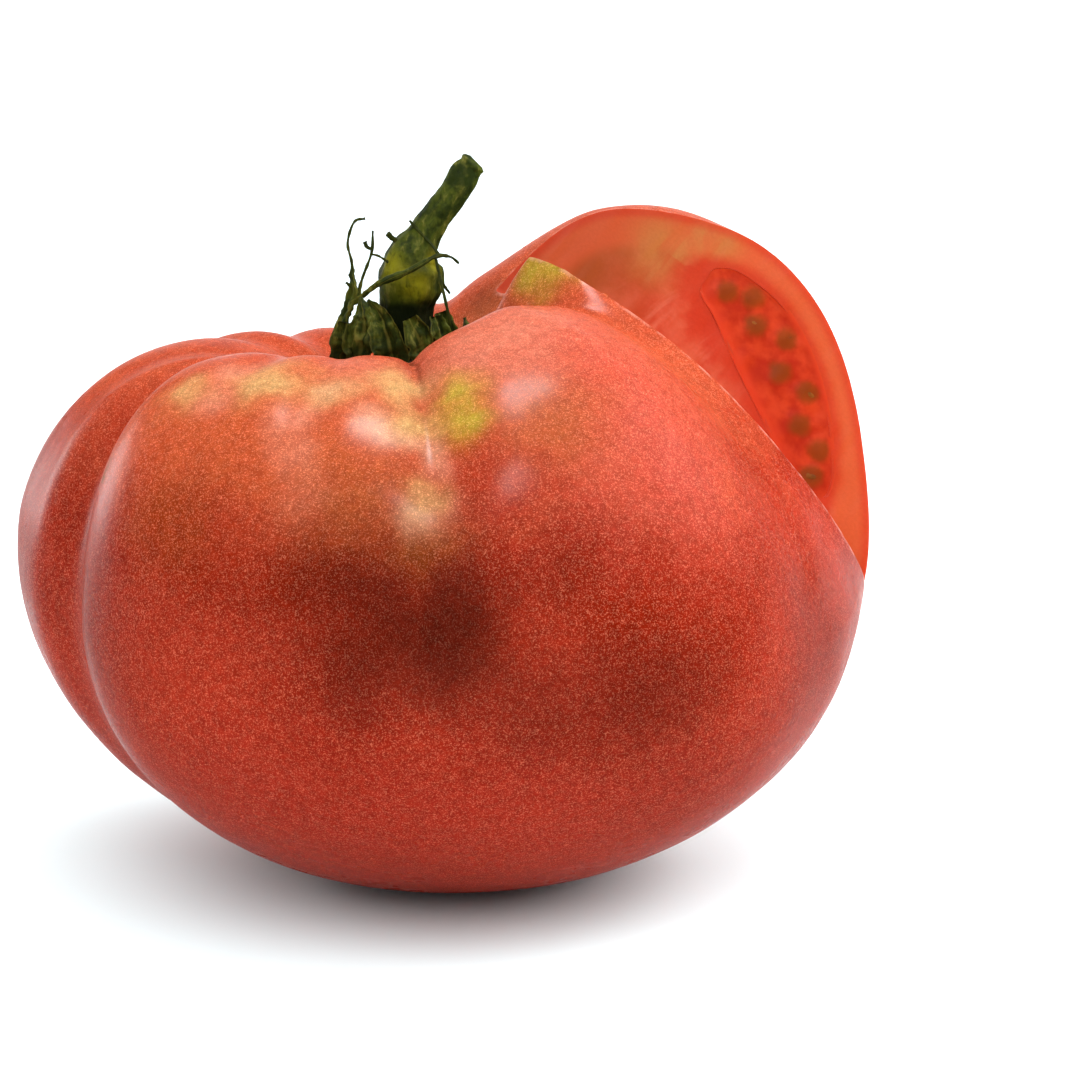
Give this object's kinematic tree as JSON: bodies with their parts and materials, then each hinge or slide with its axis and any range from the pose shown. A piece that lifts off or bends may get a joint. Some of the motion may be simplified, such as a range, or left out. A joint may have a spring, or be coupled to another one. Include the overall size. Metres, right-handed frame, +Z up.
{
  "type": "tomato",
  "caption": "Large ribbed beefsteak tomato with its stem and dried calyx, and a wedge cut from one shoulder that shows flesh, gel and seeds.",
  "frame": {"origin": "centre of the small flat spot under the fruit, on the surface that it rests on", "axes": "+Z up through the fruit towards the stem, -Y towards the viewer, +X to the viewer's right, where the wedge is cut out"},
  "size_m": [0.1195, 0.1101, 0.0997],
  "materials": {
    "fruit": "glossy pink-red skin over paler cut flesh",
    "gel": "wet deep red gel with tan seeds",
    "stem_calyx": "dried dark green"
  },
  "bodies": {
    "root": {"fruit": "fruit", "gel_back": "gel", "gel_front": "gel", "stem_calyx": "stem_calyx"}
  },
  "joints": []
}
